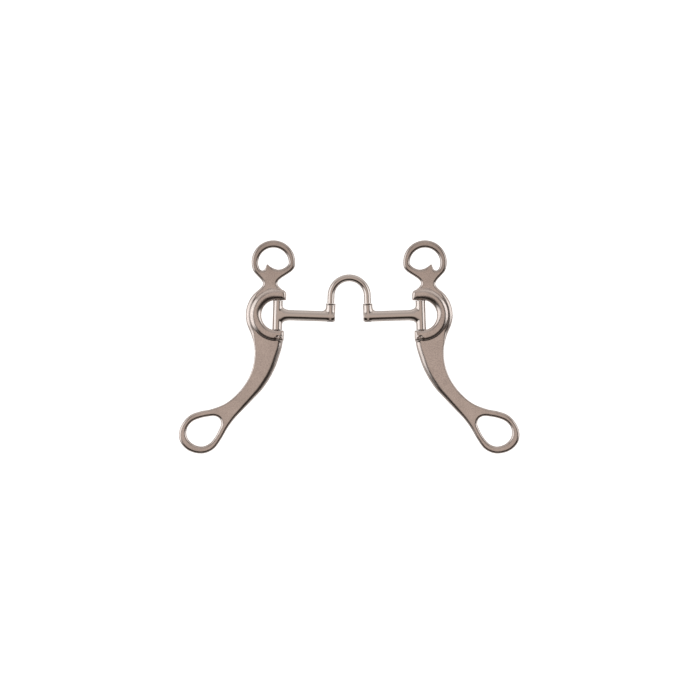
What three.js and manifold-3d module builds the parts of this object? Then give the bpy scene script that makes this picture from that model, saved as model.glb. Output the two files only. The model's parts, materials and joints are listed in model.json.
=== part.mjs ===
// Curb bit with loose cheeks and a correction port, lying flat.
// Millimetres. +X runs along the mouthpiece to the right, +Y towards the headstall rings, +Z up.
// The origin is on the surface that the bit lies on, under the middle of its bounding box.
// Each half (mouth bar and cheek) is drawn in its own hinge frame: u outboard along the bar,
// v up the hinge axis, origin at the middle of the cheek's hinge.

import * as THREE from 'three';
import { mergeVertices } from 'three/addons/utils/BufferGeometryUtils.js';
import Module from 'manifold-3d';

const wasm = await Module();
wasm.setup();

// ---- Set-out ----------------------------------------------------------------------------------
const LEAN = THREE.MathUtils.degToRad(1.8); // each half leans in at its top by this much
const HINGE_Y = 30.01; // puts the origin half way between the rings' tops and the loops' ends
const ARM_LENGTH = 50; // port leg axis to cheek hinge axis
const GAP = 0.3; // clearance between neighbouring pieces
const ROUND = 24; // sides of the round pieces

// ---- Port: a rod bent to an upside-down U ---------------------------------------------------------
const ARCH_RADIUS = 17.2; // to the rod's centre line
const LEG_LENGTH = 20.3; // arch's springing line to the level of the hinge centres
const ROD_R = 3.35;
const SPIGOT_R = 2.5; // legs are turned down to this inside the sleeves
const HEAD_R = 3.4; // spigot's headed end, in the sleeve's countersink
const HEAD_DEPTH = 1.1;

// ---- Mouth bar and its two sleeves ------------------------------------------------------------------
const BAR_R = 5;
const BAR_V = 0.4; // bar's axis above the hinge centre
const BORE_R = SPIGOT_R + GAP;
const HINGE_SLEEVE_R = 4.6;
const PORT_SLEEVE_R = 4.6;
const RIM_R = 4.95; // rim at the port sleeve's top
const RIM_HEIGHT = 1.2;
const PORT_SLEEVE_TOP = 12.6;
const PORT_SLEEVE_BOTTOM = -4.7;
const EDGE = 0.5; // broken edges of the sleeves and pins
const FLARE_R = 8.6; // bar's weld fillet where it meets the hinge sleeve, up and down the sleeve
const FLARE_LENGTH = 4.4;
const FLARE_DEPTH = 4.9; // its half thickness, front to back

// ---- Cheek: one casting ---------------------------------------------------------------------------
const PLATE = 4.8; // thickness of ring, neck and shank
const BOSS = 10.4; // thickness of the C-shaped hinge boss
const BOSS_U = 1.2; // centre of the C's arcs
const BOSS_INNER = 14.2;
const BOSS_OUTER = 24.3;
const BOSS_EDGE = 1.6; // chamfer round the boss
const TOP_EAR_U = -7.7; // inboard ends of the two ears
const BOTTOM_EAR_U = -6.5;
const EAR_CORNER = 3;
const PLATE_INNER = 19; // plate's edge, hidden in the middle of the C
const PIN_R = 2.5;
const PIN_HALF = 20.5; // half the hinge pin's length
const RING = { u: 5.6, v: 50.2, r: 20.75 }; // headstall ring, outside
const RING_HOLE = { u: 5.5, v: 49.4, r: 14.4 }; // round part of its hole

// Outer edge of neck, boss, shank and rein loop, from the ring's outboard side down and round.
const OUTBOARD_EDGE = [
  [20.2, 36.6], [16.5, 32.8], [14.7, 29.4], [15.9, 26.6], [24.5, 17.8], [29, 8.6], [30.3, -1],
  [28.7, -9.5], [24.5, -19], [21.6, -28], [20.6, -37], [21.8, -49], [26.3, -61.8], [35, -74.6],
  [46.5, -84.9], [60, -90.8], [70, -93.1],
];
const LOOP_EDGE = [
  [79.6, -97], [86.4, -104.3], [89.9, -113.5], [88.8, -122.2], [82.7, -129.3], [74, -132.9],
  [64.6, -132.8], [56.2, -128.2],
];
const INBOARD_EDGE = [
  [49.6, -118.7], [44, -108.3], [38, -99.6], [30, -90.6], [20, -79.5], [12, -70.3], [5.4, -59.9],
  [0.3, -48.8], [-2.9, -38.5], [-5, -30.4], [-6, -22],
];
const NECK_EDGE = [
  [-5.4, 22.4], [-3, 24.9], [0, 27.6], [1.2, 30.1], [0.2, 32.7], [-3.2, 35.8], [-8, 39.1],
  [-12.3, 42.4],
];
// Lower side of the ring's hole: slot for the headstall, spike, notch for the curb strap.
const RING_SLOT = [
  [-7.6, 47.3], [-5, 45.2], [-2, 43.8], [1, 43.3], [4.5, 44.1], [8, 46.3], [10.4, 48.3], [11.3, 49],
  [12.1, 47.8], [12.7, 45.3], [13.8, 43.2], [15.9, 42.3], [18, 43.3], [19.1, 45.3],
];
const REIN_HOLE = [
  [50.3, -104.4], [51.7, -99.9], [56, -97.5], [63, -98.1], [71, -100.1], [77.6, -103.3],
  [81.9, -108.9], [82.8, -115.2], [80.2, -120.9], [74.8, -125], [67.6, -126.4], [61, -123.6],
  [56, -117.8], [52.3, -110.5],
];

const STEEL = { cheek: 0xa89a92, mouth: 0xb5aca6, pin: 0x8e8680 };

// ---- Helpers ------------------------------------------------------------------------------------

/** Points on a circle, both ends included. Angles in degrees. */
function arc(circle, from, to, steps) {
  return Array.from({ length: steps + 1 }, (_, i) => {
    const angle = THREE.MathUtils.degToRad(from + ((to - from) * i) / steps);
    return [circle.u + circle.r * Math.cos(angle), circle.v + circle.r * Math.sin(angle)];
  });
}

/** A smooth closed or open line through the points. */
function smooth(points, steps, closed) {
  const corners = points.map(([u, v]) => new THREE.Vector3(u, v, 0));
  const curve = new THREE.CatmullRomCurve3(corners, closed, 'centripetal');
  const line = curve.getPoints(steps).map((p) => new THREE.Vector2(p.x, p.y));
  if (closed) line.pop();
  return line;
}

/** A manifold-3d solid from a closed geometry. */
function solid(geometry) {
  const bare = geometry.clone();
  bare.deleteAttribute('normal');
  bare.deleteAttribute('uv');
  const merged = mergeVertices(bare, 1e-4);
  const vertProperties = new Float32Array(merged.attributes.position.array);
  const corners = merged.index.array;
  const kept = [];
  for (let i = 0; i < corners.length; i += 3) {
    const [a, b, c] = corners.slice(i, i + 3);
    if (a !== b && b !== c && c !== a) kept.push(a, b, c);
  }
  const triVerts = new Uint32Array(kept);
  return new wasm.Manifold(new wasm.Mesh({ numProp: 3, vertProperties, triVerts }));
}

/** A geometry from a manifold-3d solid. */
function geometryOf(body) {
  const mesh = body.getMesh();
  const geometry = new THREE.BufferGeometry();
  geometry.setAttribute('position', new THREE.BufferAttribute(mesh.vertProperties, 3));
  geometry.setIndex(new THREE.BufferAttribute(mesh.triVerts, 1));
  geometry.computeVertexNormals();
  return geometry;
}

/** A round piece about the v axis at u. The profile is [radius, v] corners of a closed section. */
function turned(profile, u = 0) {
  const section = profile.map(([r, v]) => new THREE.Vector2(r, v));
  return new THREE.LatheGeometry(section, ROUND).translate(u, 0, 0);
}

/** The same piece for the other side. */
function mirrored(geometry) {
  const copy = geometry.clone().scale(-1, 1, 1);
  const corners = copy.index.array;
  for (let i = 0; i < corners.length; i += 3) {
    [corners[i], corners[i + 1]] = [corners[i + 1], corners[i]];
  }
  copy.computeVertexNormals();
  return copy;
}

// ---- Cheek --------------------------------------------------------------------------------------

/** Ring, neck, shank and rein loop: a flat plate whose edge runs hidden inside the C boss. */
function cheekPlate() {
  const ringEdge = arc(RING, 192, -26, 16);
  const visible = [...NECK_EDGE, ...ringEdge, ...OUTBOARD_EDGE, ...LOOP_EDGE, ...INBOARD_EDGE];
  const inner = { u: BOSS_U, v: 0, r: PLATE_INNER };
  const outline = smooth(visible, 120, false);
  const hidden = arc(inner, -97, 97, 10).map(([u, v]) => new THREE.Vector2(u, v));
  const shape = new THREE.Shape([...outline, ...hidden].reverse());
  const ringHole = [...arc(RING_HOLE, -8, 180, 12), ...RING_SLOT];
  shape.holes.push(new THREE.Path(smooth(ringHole, 56, true)));
  shape.holes.push(new THREE.Path(smooth(REIN_HOLE, 34, true)));
  return new THREE.ExtrudeGeometry(shape, { depth: PLATE, bevelEnabled: false })
    .translate(0, 0, -PLATE / 2);
}

/** The C boss: two ears joined by a half ring, thicker than the plate, with broken edges. */
function hingeBoss() {
  const shape = new THREE.Shape();
  shape.moveTo(BOSS_U, -BOSS_INNER);
  shape.absarc(BOSS_U, 0, BOSS_INNER, -Math.PI / 2, Math.PI / 2, false);
  shape.lineTo(TOP_EAR_U, BOSS_INNER);
  shape.lineTo(TOP_EAR_U, BOSS_OUTER - EAR_CORNER);
  shape.lineTo(TOP_EAR_U + EAR_CORNER, BOSS_OUTER);
  shape.lineTo(BOSS_U, BOSS_OUTER);
  shape.absarc(BOSS_U, 0, BOSS_OUTER, Math.PI / 2, -Math.PI / 2, true);
  shape.lineTo(BOTTOM_EAR_U, -BOSS_OUTER);
  shape.lineTo(BOTTOM_EAR_U, -BOSS_INNER);
  return new THREE.ExtrudeGeometry(shape, {
    curveSegments: 16,
    depth: BOSS - 2 * BOSS_EDGE,
    bevelThickness: BOSS_EDGE,
    bevelSize: BOSS_EDGE,
    bevelOffset: -BOSS_EDGE,
    bevelSegments: 2,
  }).translate(0, 0, -BOSS / 2 + BOSS_EDGE);
}

/** The whole casting, with a blind pin hole in each ear. */
function cheek() {
  const end = PIN_HALF + GAP;
  const hole = turned([[0, -end], [BORE_R, -end], [BORE_R, end], [0, end]]);
  return geometryOf(solid(cheekPlate()).add(solid(hingeBoss())).subtract(solid(hole)));
}

/** Upright hinge pin with broken ends, caught between the ears. */
function hingePin() {
  const end = PIN_HALF;
  return turned([
    [0, -end], [PIN_R - EDGE, -end], [PIN_R, EDGE - end], [PIN_R, end - EDGE],
    [PIN_R - EDGE, end], [0, end],
  ]);
}

// ---- Mouth bar and sleeves ----------------------------------------------------------------------

/** Tube that turns on the hinge pin, between the ears. */
function hingeSleeve() {
  const end = BOSS_INNER - GAP;
  const r = HINGE_SLEEVE_R;
  return turned([
    [BORE_R, -end], [r - EDGE, -end], [r, EDGE - end], [r, end - EDGE], [r - EDGE, end],
    [BORE_R, end], [BORE_R, -end],
  ]);
}

/** Tube at the bar's inner end: rim at the top, countersink below for the spigot's head. */
function portSleeve() {
  const top = PORT_SLEEVE_TOP;
  const bottom = PORT_SLEEVE_BOTTOM;
  const r = PORT_SLEEVE_R;
  return turned([
    [HEAD_R + GAP, bottom], [r - 2 * EDGE, bottom], [r, bottom + 2 * EDGE],
    [r, top - 2 * RIM_HEIGHT], [RIM_R, top - RIM_HEIGHT], [RIM_R, top - EDGE], [RIM_R - EDGE, top],
    [BORE_R, top], [BORE_R, bottom + HEAD_DEPTH + GAP], [HEAD_R + GAP, bottom],
  ], -ARM_LENGTH);
}

/** The bar, flared where it is welded to the hinge sleeve and coped round both tubes. */
function mouthBar() {
  const far = -ARM_LENGTH;
  const rod = new THREE.CylinderGeometry(BAR_R, BAR_R, ARM_LENGTH, ROUND)
    .rotateZ(Math.PI / 2).translate(far / 2, BAR_V, 0);
  const steps = 4;
  const wall = -HINGE_SLEEVE_R;
  const curve = Array.from({ length: steps + 1 }, (_, i) => {
    const angle = (Math.PI / 2) * (i / steps);
    const radius = BAR_R + (FLARE_R - BAR_R) * (1 - Math.cos(angle));
    return new THREE.Vector2(radius, -FLARE_LENGTH * (1 - Math.sin(angle)));
  });
  const section = [new THREE.Vector2(0, -FLARE_LENGTH), ...curve, new THREE.Vector2(FLARE_R, -wall),
    new THREE.Vector2(0, -wall)];
  const flare = new THREE.LatheGeometry(section, ROUND).rotateZ(-Math.PI / 2)
    .scale(1, 1, FLARE_DEPTH / FLARE_R).translate(wall, BAR_V, 0);
  const reach = 2 * PORT_SLEEVE_TOP;
  const cope = (r, u) => solid(turned([[0, -reach], [r, -reach], [r, reach], [0, reach]], u));
  return geometryOf(solid(rod).add(solid(flare))
    .subtract(cope(HINGE_SLEEVE_R + GAP, 0))
    .subtract(cope(RIM_R + GAP, far)));
}

// ---- Port ---------------------------------------------------------------------------------------

/** Centre line of the port: two straight legs and a little less than a half circle. */
class PortLine extends THREE.Curve {
  getPoint(t, target = new THREE.Vector3()) {
    const leg = LEG_LENGTH - PORT_SLEEVE_TOP - GAP;
    const turn = Math.PI - 2 * LEAN;
    const bend = ARCH_RADIUS * turn;
    const s = t * (bend + 2 * leg) - leg;
    const along = THREE.MathUtils.clamp(s, 0, bend) / bend;
    const angle = Math.PI - LEAN - turn * along;
    const past = s < 0 ? s : Math.max(0, s - bend);
    target.set(Math.cos(angle), Math.sin(angle), 0).multiplyScalar(ARCH_RADIUS);
    return target.add(new THREE.Vector3(Math.sin(angle), -Math.cos(angle), 0).multiplyScalar(past));
  }
}

/** A leg's lower end, in the frame of the arm that turns on it. */
function spigot() {
  const top = PORT_SLEEVE_TOP + GAP;
  const end = PORT_SLEEVE_BOTTOM;
  return turned([
    [0, end], [HEAD_R, end], [SPIGOT_R, end + HEAD_DEPTH], [SPIGOT_R, top - GAP / 2],
    [ROD_R, top - GAP / 2], [ROD_R, top + GAP], [0, top + GAP],
  ], -ARM_LENGTH);
}

/** The bent rod with a spigot on each leg. */
function portArch(archY, placeRight, placeLeft) {
  const ring = new THREE.Shape().absarc(0, 0, ROD_R, 0, 2 * Math.PI, false);
  const rod = new THREE.ExtrudeGeometry(ring, {
    curveSegments: ROUND / 3,
    steps: 26,
    extrudePath: new PortLine(),
  }).translate(0, archY, 0);
  const right = spigot().applyMatrix4(placeRight);
  const left = mirrored(spigot()).applyMatrix4(placeLeft);
  return geometryOf(solid(rod).add(solid(right)).add(solid(left)));
}

// ---- Assembly -----------------------------------------------------------------------------------

/** One named piece in its own steel. */
function piece(name, geometry, color, roughness) {
  const material = new THREE.MeshStandardMaterial({ color, roughness, metalness: 1 });
  const mesh = new THREE.Mesh(geometry, material);
  mesh.name = name;
  return mesh;
}

const hingeX = ARCH_RADIUS * Math.cos(LEAN) + LEG_LENGTH * Math.sin(LEAN)
  + ARM_LENGTH * Math.cos(LEAN);
const elbowY = HINGE_Y - ARM_LENGTH * Math.sin(LEAN);
const archY = elbowY + LEG_LENGTH * Math.cos(LEAN) - ARCH_RADIUS * Math.sin(LEAN);

const half = {
  cheek: [cheek(), STEEL.cheek, 0.35],
  hinge_pin: [hingePin(), STEEL.pin, 0.4],
  hinge_sleeve: [hingeSleeve(), STEEL.mouth, 0.15],
  mouth_bar: [mouthBar(), STEEL.mouth, 0.15],
  port_sleeve: [portSleeve(), STEEL.mouth, 0.15],
};

const bit = new THREE.Group();
const placed = {};
for (const side of ['left', 'right']) {
  const right = side === 'right';
  const frame = new THREE.Group();
  frame.position.set(right ? hingeX : -hingeX, HINGE_Y, 0);
  frame.rotation.z = right ? LEAN : -LEAN;
  frame.updateMatrix();
  placed[side] = frame.matrix;
  for (const [name, [geometry, color, roughness]] of Object.entries(half)) {
    frame.add(piece(`${side}_${name}`, right ? geometry : mirrored(geometry), color, roughness));
  }
  bit.add(frame);
}
bit.add(piece('port_arch', portArch(archY, placed.right, placed.left), STEEL.mouth, 0.15));
bit.position.z = BOSS / 2;

export default bit;
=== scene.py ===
"""Loose-cheek curb bit, lying flat: its finished surfaces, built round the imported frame.

The row frame is metres, +X along the mouthpiece to the right, +Y towards the headstall rings, +Z up.
Each half is modelled in its own hinge frame, in millimetres: u runs outboard along the mouth bar,
v up the cheek's hinge and w up off the table, from the middle of the hinge.
"""

from __future__ import annotations

import json
import logging
import math
from dataclasses import dataclass
from enum import Enum
from typing import Any, Callable, Iterable, Sequence

import bpy
import numpy as np
from mathutils import Matrix, Vector
from mathutils.kdtree import KDTree

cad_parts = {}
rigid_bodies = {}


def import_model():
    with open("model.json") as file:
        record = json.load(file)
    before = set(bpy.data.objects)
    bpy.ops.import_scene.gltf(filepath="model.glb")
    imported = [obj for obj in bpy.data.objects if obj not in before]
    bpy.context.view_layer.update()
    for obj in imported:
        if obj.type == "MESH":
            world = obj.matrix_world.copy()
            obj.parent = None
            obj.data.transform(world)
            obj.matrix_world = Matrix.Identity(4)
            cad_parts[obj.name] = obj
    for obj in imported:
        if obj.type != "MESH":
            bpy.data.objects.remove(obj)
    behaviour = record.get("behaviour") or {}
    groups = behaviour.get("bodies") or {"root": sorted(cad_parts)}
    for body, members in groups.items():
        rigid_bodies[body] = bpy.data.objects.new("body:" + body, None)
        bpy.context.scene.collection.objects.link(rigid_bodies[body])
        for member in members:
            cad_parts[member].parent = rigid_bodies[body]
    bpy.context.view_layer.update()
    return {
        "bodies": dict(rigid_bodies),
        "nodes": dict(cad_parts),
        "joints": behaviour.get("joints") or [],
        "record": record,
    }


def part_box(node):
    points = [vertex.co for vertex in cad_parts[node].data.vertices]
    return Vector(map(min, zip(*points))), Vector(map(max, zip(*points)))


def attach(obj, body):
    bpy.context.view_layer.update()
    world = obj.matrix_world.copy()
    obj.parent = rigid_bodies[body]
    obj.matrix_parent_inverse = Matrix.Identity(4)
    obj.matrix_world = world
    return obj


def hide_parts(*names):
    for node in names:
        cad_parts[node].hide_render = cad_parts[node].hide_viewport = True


log = logging.getLogger("curb_bit")

MM = 0.001
UP = Vector((0, 0, 1))

Point = tuple[float, float]
Span = tuple[float, float]  # where a smooth step starts and ends
Rounding = tuple[float, float]  # how far it reaches in from an edge, and how far it drops
Colour = tuple[float, float, float]
Piece = bpy.types.Object


class Side(Enum):
    """The two halves of the bit."""

    LEFT = "left"
    RIGHT = "right"


class Slot(Enum):
    """The record's finishes."""

    CHEEK = "cheek_steel"
    MOUTH = "mouth_steel"
    PIN = "pin_steel"


# ---- Set-out -------------------------------------------------------------------------------------


@dataclass(frozen=True)
class HalfFrame:
    """One half's hinge frame. Its matrix takes millimetres (u, v, w) to the row frame's metres."""

    side: Side
    matrix: Matrix

    @classmethod
    def of(cls, side: Side, frame: dict[str, Any]) -> HalfFrame:
        """Reads a half's set-out from its cheek's hinge.

        Args:
            side: the half.
            frame: the loaded frame.

        Returns:
            The half's frame.
        """
        name = f"{side.value}_cheek_swing"
        hinge = next(joint for joint in frame["joints"] if joint["name"] == name)
        up = Vector(hinge["axis"])
        if up.y < 0:
            up.negate()
        out = up.cross(UP)
        if side is Side.LEFT:
            out.negate()
        turn = Matrix((out, up, UP)).transposed().to_4x4()
        return cls(side, Matrix.Translation(hinge["pos_m"]) @ turn @ Matrix.Scale(MM, 4))

    def extent(self, node: Piece) -> tuple[np.ndarray, np.ndarray]:
        """A frame node's lowest and highest corner in the half frame, in millimetres."""
        points = [self.matrix.inverted() @ corner.co for corner in node.data.vertices]
        table = np.array([tuple(point) for point in points])
        return table.min(axis=0), table.max(axis=0)

    def settle(self, master: Piece, name: str) -> Piece:
        """Copies a half-frame master to this side, with its place in its mesh.

        Args:
            master: the piece as modelled, in millimetres.
            name: the new piece's name.

        Returns:
            The placed copy, with its faces pointing out.
        """
        copy = master.copy()
        copy.data = master.data.copy()
        copy.name = copy.data.name = name
        bpy.context.scene.collection.objects.link(copy)
        copy.data.transform(self.matrix)
        if self.matrix.determinant() < 0:
            copy.data.flip_normals()
        return copy


@dataclass(frozen=True)
class Edge:
    """A closed edge of a flat piece. A hole's edge has the metal outside it."""

    line: list[Point]
    hole: bool = False

    def inward(self) -> np.ndarray:
        """The way into the metal at each of the edge's points, one unit row each."""
        line = np.array(self.line)
        along = np.roll(line, -1, axis=0) - np.roll(line, 1, axis=0)
        along /= np.maximum(np.linalg.norm(along, axis=1, keepdims=True), 1e-9)
        after = np.roll(line, -1, axis=0)
        area = float((line[:, 0] * after[:, 1] - after[:, 0] * line[:, 1]).sum())
        turn = 1 if (area > 0) != self.hole else -1
        return turn * np.column_stack([-along[:, 1], along[:, 0]])


@dataclass(frozen=True)
class Section:
    """A flat piece's section at a row of places: half its thickness, and each face's rounding.

    A rounding is how far it reaches in from the edge, and how far it drops from the face.
    """

    half: np.ndarray
    front: tuple[np.ndarray, np.ndarray]
    back: tuple[np.ndarray, np.ndarray]


# ---- Bench: what the hands do --------------------------------------------------------------------


class Bench:
    """The modelling moves that every piece is made with."""

    @staticmethod
    def hold(*pieces: Piece) -> None:
        """Selects these pieces alone, the first one active."""
        bpy.ops.object.select_all(action="DESELECT")
        for piece in pieces:
            piece.select_set(True)
        bpy.context.view_layer.objects.active = pieces[0]

    @staticmethod
    def join(name: str, *pieces: Piece) -> Piece:
        """Joins pieces into one object and returns it."""
        Bench.hold(*pieces)
        bpy.ops.object.join()
        joined = bpy.context.view_layer.objects.active
        joined.name = joined.data.name = name
        return joined

    @staticmethod
    def modify(piece: Piece, kind: str, **settings: Any) -> None:
        """Adds a modifier and applies it.

        Args:
            piece: the piece to change.
            kind: the modifier's type.
            settings: its properties.
        """
        Bench.hold(piece)
        modifier = piece.modifiers.new(kind.lower(), kind)
        for key, value in settings.items():
            setattr(modifier, key, value)
        bpy.ops.object.modifier_apply(modifier=modifier.name)

    @staticmethod
    def rod(start: Vector, end: Vector, radius: float, sides: int = 96) -> Piece:
        """Adds a solid round bar.

        Args:
            start: the middle of one end.
            end: the middle of the other end.
            radius: its radius.
            sides: facets round it.

        Returns:
            The bar.
        """
        along = end - start
        turn = along.to_track_quat("Z", "Y").to_euler()
        bpy.ops.object.select_all(action="DESELECT")
        bpy.ops.mesh.primitive_cylinder_add(
            vertices=sides, radius=radius, depth=along.length, location=(start + end) / 2, rotation=turn
        )
        piece = bpy.context.object
        Bench.fix_place(piece)
        return piece

    @staticmethod
    def fix_place(piece: Piece) -> None:
        """Puts a piece's place into its mesh, so that its object sits at the origin."""
        Bench.hold(piece)
        bpy.ops.object.transform_apply(location=True, rotation=True, scale=True)

    @staticmethod
    def flat(name: str, edges: Sequence[Edge], half: float) -> Piece:
        """Cuts a flat shape out of plate.

        Args:
            name: the piece's name.
            edges: its outer edge and those of its holes.
            half: half the plate's thickness.

        Returns:
            The closed plate, centred on w = 0, with square edges.
        """
        curve = bpy.data.curves.new(name, "CURVE")
        curve.dimensions = "2D"
        curve.fill_mode = "BOTH"
        curve.extrude = half
        for edge in edges:
            spline = curve.splines.new("POLY")
            spline.points.add(len(edge.line) - 1)
            for corner, (u, v) in zip(spline.points, edge.line):
                corner.co = (u, v, 0, 1)
            spline.use_cyclic_u = True
        piece = bpy.data.objects.new(name, curve)
        bpy.context.scene.collection.objects.link(piece)
        Bench.hold(piece)
        bpy.ops.object.convert(target="MESH")
        return Bench.close(bpy.context.object)

    @staticmethod
    def close(piece: Piece, reach: float = 1e-4) -> Piece:
        """Merges doubled corners and turns the faces outwards."""
        Bench.hold(piece)
        bpy.ops.object.mode_set(mode="EDIT")
        bpy.ops.mesh.select_all(action="SELECT")
        bpy.ops.mesh.remove_doubles(threshold=reach)
        bpy.ops.mesh.normals_make_consistent(inside=False)
        bpy.ops.object.mode_set(mode="OBJECT")
        return piece

    @staticmethod
    def turned(name: str, profile: Sequence[Point], u: float = 0.0, steps: int = 96) -> Piece:
        """Turns a closed section about the hinge direction, as on a lathe.

        Args:
            name: the piece's name.
            profile: (radius, v) corners of the closed section.
            u: where the turning axis is.
            steps: facets round it.

        Returns:
            The turned ring.
        """
        bpy.ops.object.select_all(action="DESELECT")
        bpy.ops.mesh.primitive_circle_add(vertices=len(profile), radius=1)
        piece = bpy.context.object
        piece.name = piece.data.name = name
        for corner, (radius, v) in zip(piece.data.vertices, profile):
            corner.co = (u + radius, v, 0)
        bpy.ops.object.mode_set(mode="EDIT")
        bpy.ops.mesh.select_all(action="SELECT")
        bpy.ops.mesh.spin(steps=steps, angle=math.tau, center=(u, 0, 0), axis=(0, 1, 0))
        bpy.ops.object.mode_set(mode="OBJECT")
        return Bench.close(piece)

    @staticmethod
    def round_over(piece: Piece, edges: Sequence[Edge], half: float, voxel: float,
                   section: Callable[[np.ndarray], Section]) -> None:
        """Rounds a flat piece's square edges to quarter ellipses, and gives it its thickness.

        Args:
            piece: the square-edged plate.
            edges: the edges it was cut to.
            half: half its present thickness.
            voxel: the grid of the skin that carries the rounding.
            section: the section wanted at each (u, v).
        """
        Bench.modify(piece, "REMESH", mode="VOXEL", voxel_size=voxel)
        inward = np.vstack([edge.inward() for edge in edges])
        line = np.vstack([np.array(edge.line) for edge in edges])
        tree = KDTree(len(line))
        for index, (u, v) in enumerate(line):
            tree.insert((u, v, 0), index)
        tree.balance()
        corners = Bench.corners(piece).astype(float)
        nearest = np.array([tree.find((u, v, 0))[1] for u, v, _ in corners])
        ways = inward[nearest]
        depth = np.clip(((corners[:, :2] - line[nearest]) * ways).sum(axis=1), 0, None)
        shape = section((line[nearest] + corners[:, :2]) / 2)
        height = np.clip(corners[:, 2] / half, -1, 1) * shape.half
        for sign, (reach, drop) in ((1, shape.front), (-1, shape.back)):
            side = np.clip(1 - depth / reach, 0, 1)
            rise = np.clip(1 - (shape.half - sign * height) / drop, 0, 1)
            rolled = (side > 0) & (rise > 0)
            shrink = np.maximum(side, rise) / np.maximum(np.hypot(side, rise), 1e-9)
            moved = np.where(rolled, reach * (1 - side * shrink) - depth, 0)
            corners[:, :2] += ways * moved[:, None]
            height = np.where(rolled, sign * (shape.half - drop * (1 - rise * shrink)), height)
        corners[:, 2] = height
        piece.data.vertices.foreach_set("co", corners.astype(np.float32).ravel())
        piece.data.update()

    @staticmethod
    def weigh(piece: Piece, group: str, rule: Callable[[np.ndarray], np.ndarray]) -> None:
        """Gives every corner a weight between 0 and 1.

        Args:
            piece: the piece.
            group: the vertex group's name.
            rule: takes the corners, one row each, and returns their weights.
        """
        weights = np.round(rule(Bench.corners(piece)), 2)
        layer = piece.vertex_groups.new(name=group)
        for level in np.unique(weights):
            chosen = np.nonzero(weights == level)[0]
            layer.add([int(i) for i in chosen], float(level), "REPLACE")

    @staticmethod
    def corners(piece: Piece) -> np.ndarray:
        """The corners of a piece's mesh, one row each."""
        flat = np.empty(3 * len(piece.data.vertices), np.float32)
        piece.data.vertices.foreach_get("co", flat)
        return flat.reshape(-1, 3)

    @staticmethod
    def fuse(piece: Piece, voxel: float, softness: float,
             rule: Callable[[np.ndarray], np.ndarray]) -> None:
        """Makes one skin of overlapping solids and softens its edges, as casting and tumbling do.

        Args:
            piece: the joined solids.
            voxel: the skin's grid.
            softness: how far the softening reaches, where its weight is 1.
            rule: the softening's weight, as in weigh.
        """
        Bench.modify(piece, "REMESH", mode="VOXEL", voxel_size=voxel, use_smooth_shade=True)
        Bench.weigh(piece, "soft", rule)
        passes = round(4 * (softness / voxel) ** 2)
        Bench.modify(piece, "SMOOTH", factor=1.0, iterations=passes, vertex_group="soft")
        piece.vertex_groups.clear()

    @staticmethod
    def cut(piece: Piece, *cutters: Piece) -> None:
        """Takes the cutters' solids out of a piece, and removes them."""
        Bench.boolean(piece, "DIFFERENCE", cutters)

    @staticmethod
    def boolean(piece: Piece, operation: str, tools: Iterable[Piece]) -> None:
        """Joins or cuts a piece with others, and removes the others.

        Args:
            piece: the piece to change.
            operation: UNION or DIFFERENCE.
            tools: the other solids.
        """
        for tool in tools:
            Bench.modify(piece, "BOOLEAN", operation=operation, object=tool, solver="MANIFOLD")
            bpy.data.objects.remove(tool)

    @staticmethod
    def smooth_shade(piece: Piece, sharp_degrees: float = 40.0) -> None:
        """Shades a piece smooth, apart from edges sharper than the angle."""
        Bench.hold(piece)
        bpy.ops.object.shade_smooth_by_angle(angle=math.radians(sharp_degrees))


def arc(centre: Point, radius: float, start: float, end: float, step: float) -> list[Point]:
    """Points along a circle.

    Args:
        centre: the circle's centre.
        radius: its radius.
        start: first angle, in degrees.
        end: last angle, in degrees.
        step: the longest gap between points.

    Returns:
        The points, both ends included.
    """
    count = max(2, math.ceil(abs(math.radians(end - start)) * radius / step))
    angles = np.radians(np.linspace(start, end, count + 1))
    return [(centre[0] + radius * math.cos(a), centre[1] + radius * math.sin(a)) for a in angles]


def smooth_line(points: Sequence[Point], step: float, closed: bool) -> list[Point]:
    """A centripetal Catmull-Rom line through points.

    Args:
        points: what it passes through.
        step: about the gap between the points it returns.
        closed: whether it comes back to its start.

    Returns:
        The line's points.
    """
    knots = [np.array(point, float) for point in points]
    if closed:
        knots = [knots[-1], *knots, knots[0], knots[1]]
    else:
        knots = [2 * knots[0] - knots[1], *knots, 2 * knots[-1] - knots[-2]]
    line: list[Point] = []
    for a, b, c, d in zip(knots, knots[1:], knots[2:], knots[3:]):
        t1 = math.sqrt(np.linalg.norm(b - a))
        t2 = t1 + math.sqrt(np.linalg.norm(c - b))
        t3 = t2 + math.sqrt(np.linalg.norm(d - c))
        count = max(1, round(float(np.linalg.norm(c - b)) / step))
        for t in np.linspace(t1, t2, count, endpoint=False):
            ab = a + (b - a) * t / t1
            bc = b + (c - b) * (t - t1) / (t2 - t1)
            cd = c + (d - c) * (t - t2) / (t3 - t2)
            abc = ab + (bc - ab) * t / t2
            bcd = bc + (cd - bc) * (t - t1) / (t3 - t1)
            u, v = abc + (bcd - abc) * (t - t1) / (t2 - t1)
            line.append((float(u), float(v)))
    if not closed:
        line.append((float(points[-1][0]), float(points[-1][1])))
    return line


def ramp(value: np.ndarray, start: float, end: float) -> np.ndarray:
    """0 before start and 1 after end, with a smooth step between. End may be below start."""
    t = np.clip((value - start) / (end - start), 0, 1)
    return t * t * (3 - 2 * t)


# ---- Finishes ------------------------------------------------------------------------------------


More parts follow.
